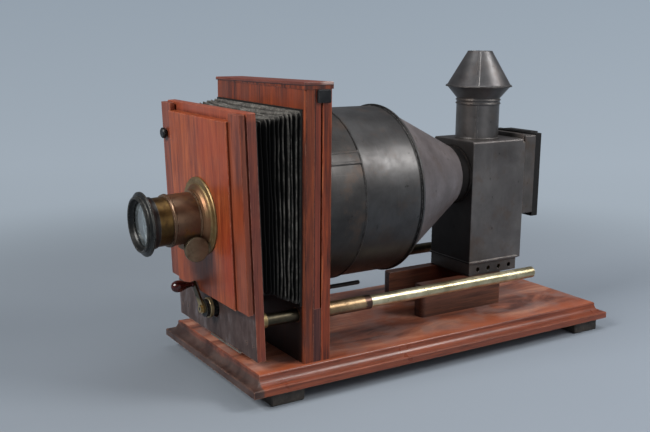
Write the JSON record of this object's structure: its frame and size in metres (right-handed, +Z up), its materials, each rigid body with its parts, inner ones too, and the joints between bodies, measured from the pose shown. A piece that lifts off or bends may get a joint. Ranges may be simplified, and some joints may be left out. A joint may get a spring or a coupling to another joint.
{
  "type": "horizontal enlarging lantern",
  "caption": "Horizontal photographic enlarger: wooden standards with bellows, brass lens and crank focusing, condenser drum and cone to an iron lamphouse with chimney, on a moulded base.",
  "frame": {"origin": "centre of the footprint box, on the floor plane under the feet", "axes": "+Z up; the lens points to -Y and the lamphouse is at +Y; +X is the side the negative carrier draws out of"},
  "size_m": [0.2668, 0.6852, 0.4118],
  "materials": {
    "mahogany": "gloss",
    "mahogany_dark": "gloss",
    "mahogany_base": "gloss",
    "dark_wood": "matte",
    "iron_sheet": "satin",
    "iron_worn": "satin",
    "brass": "aged",
    "brass_lacquer": "satin",
    "black_brass": "satin",
    "steel_dark": "worn",
    "glass": "polished",
    "negative": "polished",
    "bellows_leather": "matte",
    "handle_wood": "gloss",
    "wick_cotton": "matte",
    "reflector_metal": "polished"
  },
  "bodies": {
    "stand": {"base_board": "mahogany_base", "foot_blocks": "dark_wood", "base_screws": "steel_dark", "middle_front_frame": "mahogany_dark", "middle_rear_frame": "mahogany_dark", "slot_spacer": "mahogany_dark", "cap_board": "mahogany", "guide_sleeves": "brass", "screw_nut": "brass", "nut_screws": "brass", "drum_front": "iron_sheet", "condenser_cell": "iron_sheet", "condenser_lenses": "glass", "condenser_rings": "brass", "bellows_rear_frame": "dark_wood", "bellows": "bellows_leather"},
    "front_standard": {"front_board": "mahogany", "front_rails": "mahogany", "bellows_front_frame": "dark_wood", "slide_tubes": "brass", "tube_collars": "brass", "bottom_strip": "brass", "front_screws": "brass"},
    "lens_panel": {"lens_board": "mahogany", "lens_flange": "brass", "flange_screws": "brass", "lens_jacket": "brass_lacquer"},
    "lens_tube": {"lens_barrel": "brass", "lens_hood": "black_brass", "front_lens": "glass", "rear_lens": "glass", "lens_rings": "black_brass"},
    "pinion": {"focus_pinion": "brass", "focus_knob": "brass"},
    "rail_clamp": {"clamp_screw": "black_brass"},
    "crank": {"focusing_screw": "steel_dark", "milled_nuts": "black_brass", "brass_washer": "brass", "crank_arm": "brass"},
    "crank_grip": {"crank_handle": "handle_wood"},
    "carrier": {"carrier_frame": "mahogany_dark", "negative_glass": "negative", "negative_keeper": "dark_wood", "carrier_pull": "black_brass"},
    "lamp_end": {"drum_rear": "iron_sheet", "cone": "iron_worn", "lamphouse_shell": "iron_sheet", "lamphouse_plinth": "iron_sheet", "stand_block": "mahogany_dark", "chimney_pipe": "iron_sheet", "chimney_cowl": "iron_worn", "lamp_font": "brass", "lamp_burner": "brass", "reflector": "reflector_metal"},
    "wick": {"lamp_wick": "wick_cotton"},
    "winder": {"wick_winder": "brass"},
    "back_door": {"rear_door": "iron_sheet", "door_box": "iron_sheet", "door_back_frame": "dark_wood"},
    "shutter": {"sight_shutter": "mahogany_dark"}
  },
  "joints": [
    {"name": "front_focus", "type": "slide", "parent": "stand", "child": "front_standard", "axis": [0, -1, 0], "range_m": [-0.02, 0.115], "deforming": ["bellows"]},
    {"name": "focus_crank_turn", "type": "hinge", "parent": "front_standard", "child": "crank", "pos_m": [0, -0.24127, 0.0929], "axis": [0, 1, 0], "continuous": true},
    {"name": "crank_grip_spin", "type": "hinge", "parent": "crank", "child": "crank_grip", "pos_m": [-0.0248, -0.27127, 0.1188], "axis": [0, 1, 0], "continuous": true},
    {"name": "lens_board_rise", "type": "slide", "parent": "front_standard", "child": "lens_panel", "axis": [0, -0.0401, 0.9992], "range_m": [0, 0.05]},
    {"name": "clamp_turn", "type": "hinge", "parent": "front_standard", "child": "rail_clamp", "pos_m": [-0.102, -0.26033, 0.30582], "axis": [0, -0.9992, -0.0401], "range_deg": [0, 180]},
    {"name": "lens_focus", "type": "slide", "parent": "lens_panel", "child": "lens_tube", "axis": [0, -0.9992, -0.0401], "range_m": [-0.008, 0.012]},
    {"name": "focus_pinion_turn", "type": "hinge", "parent": "lens_panel", "child": "pinion", "pos_m": [0, -0.27772, 0.17802], "axis": [1, 0, 0], "continuous": true},
    {"name": "carrier_slide", "type": "slide", "parent": "stand", "child": "carrier", "axis": [1, 0, 0], "range_m": [0, 0.225]},
    {"name": "lamp_end_slide", "type": "slide", "parent": "stand", "child": "lamp_end", "axis": [0, 1, 0], "range_m": [-0.02, 0.02]},
    {"name": "wick_raise", "type": "slide", "parent": "lamp_end", "child": "wick", "axis": [0, 0, 1], "range_m": [-0.003, 0.006]},
    {"name": "wick_winder_turn", "type": "hinge", "parent": "lamp_end", "child": "winder", "pos_m": [0.0056, 0.22873, 0.1444], "axis": [0, 1, 0], "continuous": true},
    {"name": "back_door_lift", "type": "slide", "parent": "lamp_end", "child": "back_door", "axis": [0, 0, 1], "range_m": [0, 0.15]},
    {"name": "sight_shutter_lift", "type": "slide", "parent": "back_door", "child": "shutter", "axis": [0, 0, 1], "range_m": [0, 0.09]}
  ],
  "couplings": [
    {"joint": "focus_crank_turn", "follows": "front_focus", "rad_per_m": -523.6},
    {"joint": "focus_pinion_turn", "follows": "lens_focus", "rad_per_m": 357.14},
    {"joint": "wick_winder_turn", "follows": "wick_raise", "rad_per_m": 238.09}
  ]
}
